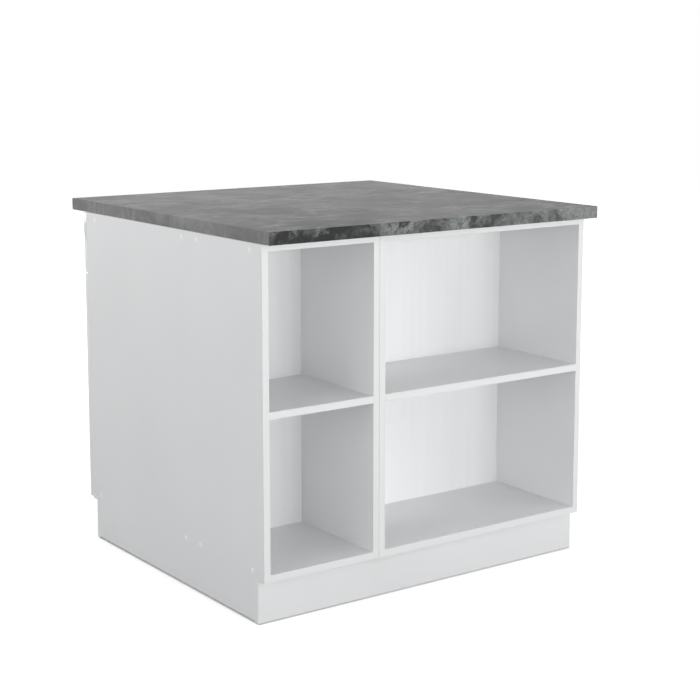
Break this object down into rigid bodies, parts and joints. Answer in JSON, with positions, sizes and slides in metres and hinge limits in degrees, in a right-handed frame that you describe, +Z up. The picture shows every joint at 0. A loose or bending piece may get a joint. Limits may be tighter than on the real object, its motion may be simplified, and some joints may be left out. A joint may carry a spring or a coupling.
{
  "type": "kitchen island unit",
  "caption": "Free-standing kitchen island: open shelf bays on one long side, cupboards with hinged doors and a drawer on the other, under an overhanging worktop.",
  "frame": {"origin": "on the floor, under the middle of the worktop", "axes": "+X to the right as seen from the open-shelf side, +Y from the open-shelf side to the cupboard side, +Z up"},
  "size_m": [0.914, 0.9, 0.844],
  "materials": {
    "slate_laminate": "particleboard with a matt slate-look laminate",
    "melamine": "particleboard faced with matt white melamine",
    "gloss_front": "particleboard with a high-gloss white face",
    "back_panel": "thin fibreboard lacquered white",
    "satin_steel": "satin brushed",
    "nickel": "nickel-plated",
    "coated_steel": "white epoxy powder coat",
    "nylon": "moulded white nylon"
  },
  "bodies": {
    "carcass": {"worktop": "slate_laminate", "side_panel_left": "melamine", "side_panel_right": "melamine", "plinth_shelf_side": "melamine", "plinth_cupboard_side": "melamine", "narrow_bay_divider": "melamine", "wide_bay_divider": "melamine", "wide_cupboard_divider": "melamine", "narrow_cupboard_divider": "melamine", "narrow_bay_top": "melamine", "narrow_bay_shelf": "melamine", "narrow_bay_bottom": "melamine", "wide_bay_top": "melamine", "wide_bay_shelf": "melamine", "wide_bay_bottom": "melamine", "wide_back_board": "back_panel", "narrow_back_board": "back_panel", "wide_cupboard_bottom": "melamine", "wide_cupboard_front_rail": "melamine", "wide_cupboard_rear_rail": "melamine", "wide_cupboard_shelf": "melamine", "narrow_cupboard_bottom": "melamine", "narrow_cupboard_front_rail": "melamine", "narrow_cupboard_rear_rail": "melamine", "narrow_cupboard_shelf": "melamine", "wide_door_outer_lower_hinge_arm": "nickel", "wide_door_outer_upper_hinge_arm": "nickel", "wide_door_middle_lower_hinge_arm": "nickel", "wide_door_middle_upper_hinge_arm": "nickel", "narrow_door_lower_hinge_arm": "nickel", "narrow_door_upper_hinge_arm": "nickel", "cupboard_runner_left_profile": "coated_steel", "cupboard_runner_right_profile": "coated_steel"},
    "outer_door": {"wide_door_outer": "gloss_front", "wide_door_outer_handle": "satin_steel", "wide_door_outer_lower_hinge_cup": "nickel", "wide_door_outer_upper_hinge_cup": "nickel"},
    "middle_door": {"wide_door_middle": "gloss_front", "wide_door_middle_handle": "satin_steel", "wide_door_middle_lower_hinge_cup": "nickel", "wide_door_middle_upper_hinge_cup": "nickel"},
    "tall_door": {"narrow_door": "gloss_front", "narrow_door_handle": "satin_steel", "narrow_door_lower_hinge_cup": "nickel", "narrow_door_upper_hinge_cup": "nickel"},
    "drawer": {"drawer_front": "gloss_front", "drawer_handle": "satin_steel", "drawer_side_left": "melamine", "drawer_side_right": "melamine", "drawer_back": "melamine", "drawer_base": "back_panel", "drawer_runner_left_profile": "coated_steel", "drawer_runner_right_profile": "coated_steel"},
    "fixed_roller_left": {"cupboard_runner_left_roller": "nylon"},
    "fixed_roller_right": {"cupboard_runner_right_roller": "nylon"},
    "drawer_roller_left": {"drawer_runner_left_roller": "nylon"},
    "drawer_roller_right": {"drawer_runner_right_roller": "nylon"}
  },
  "joints": [
    {"name": "outer_door_hinge", "type": "hinge", "parent": "carcass", "child": "outer_door", "pos_m": [-0.448, 0.3855, 0.382], "axis": [0, 0, 1], "range_deg": [0, 95]},
    {"name": "middle_door_hinge", "type": "hinge", "parent": "carcass", "child": "middle_door", "pos_m": [0.134, 0.3855, 0.382], "axis": [0, 0, -1], "range_deg": [0, 95]},
    {"name": "tall_door_hinge", "type": "hinge", "parent": "carcass", "child": "tall_door", "pos_m": [0.434, 0.3855, 0.4565], "axis": [0, 0, -1], "range_deg": [0, 95]},
    {"name": "drawer_slide", "type": "slide", "parent": "carcass", "child": "drawer", "axis": [0, 1, 0], "range_m": [0, 0.34]},
    {"name": "fixed_roller_left_spin", "type": "hinge", "parent": "carcass", "child": "fixed_roller_left", "pos_m": [-0.4357, 0.359, 0.69925], "axis": [-1, 0, 0], "range_deg": [0, 2170]},
    {"name": "fixed_roller_right_spin", "type": "hinge", "parent": "carcass", "child": "fixed_roller_right", "pos_m": [0.1217, 0.359, 0.69925], "axis": [-1, 0, 0], "range_deg": [0, 2170]},
    {"name": "drawer_roller_left_spin", "type": "hinge", "parent": "drawer", "child": "drawer_roller_left", "pos_m": [-0.4351, -0.062, 0.69925], "axis": [-1, 0, 0], "range_deg": [0, 2170]},
    {"name": "drawer_roller_right_spin", "type": "hinge", "parent": "drawer", "child": "drawer_roller_right", "pos_m": [0.1211, -0.062, 0.69925], "axis": [-1, 0, 0], "range_deg": [0, 2170]}
  ],
  "couplings": [
    {"joint": "fixed_roller_left_spin", "follows": "drawer_slide", "rad_per_m": 111.11},
    {"joint": "fixed_roller_right_spin", "follows": "drawer_slide", "rad_per_m": 111.11},
    {"joint": "drawer_roller_left_spin", "follows": "drawer_slide", "rad_per_m": 111.11},
    {"joint": "drawer_roller_right_spin", "follows": "drawer_slide", "rad_per_m": 111.11}
  ]
}
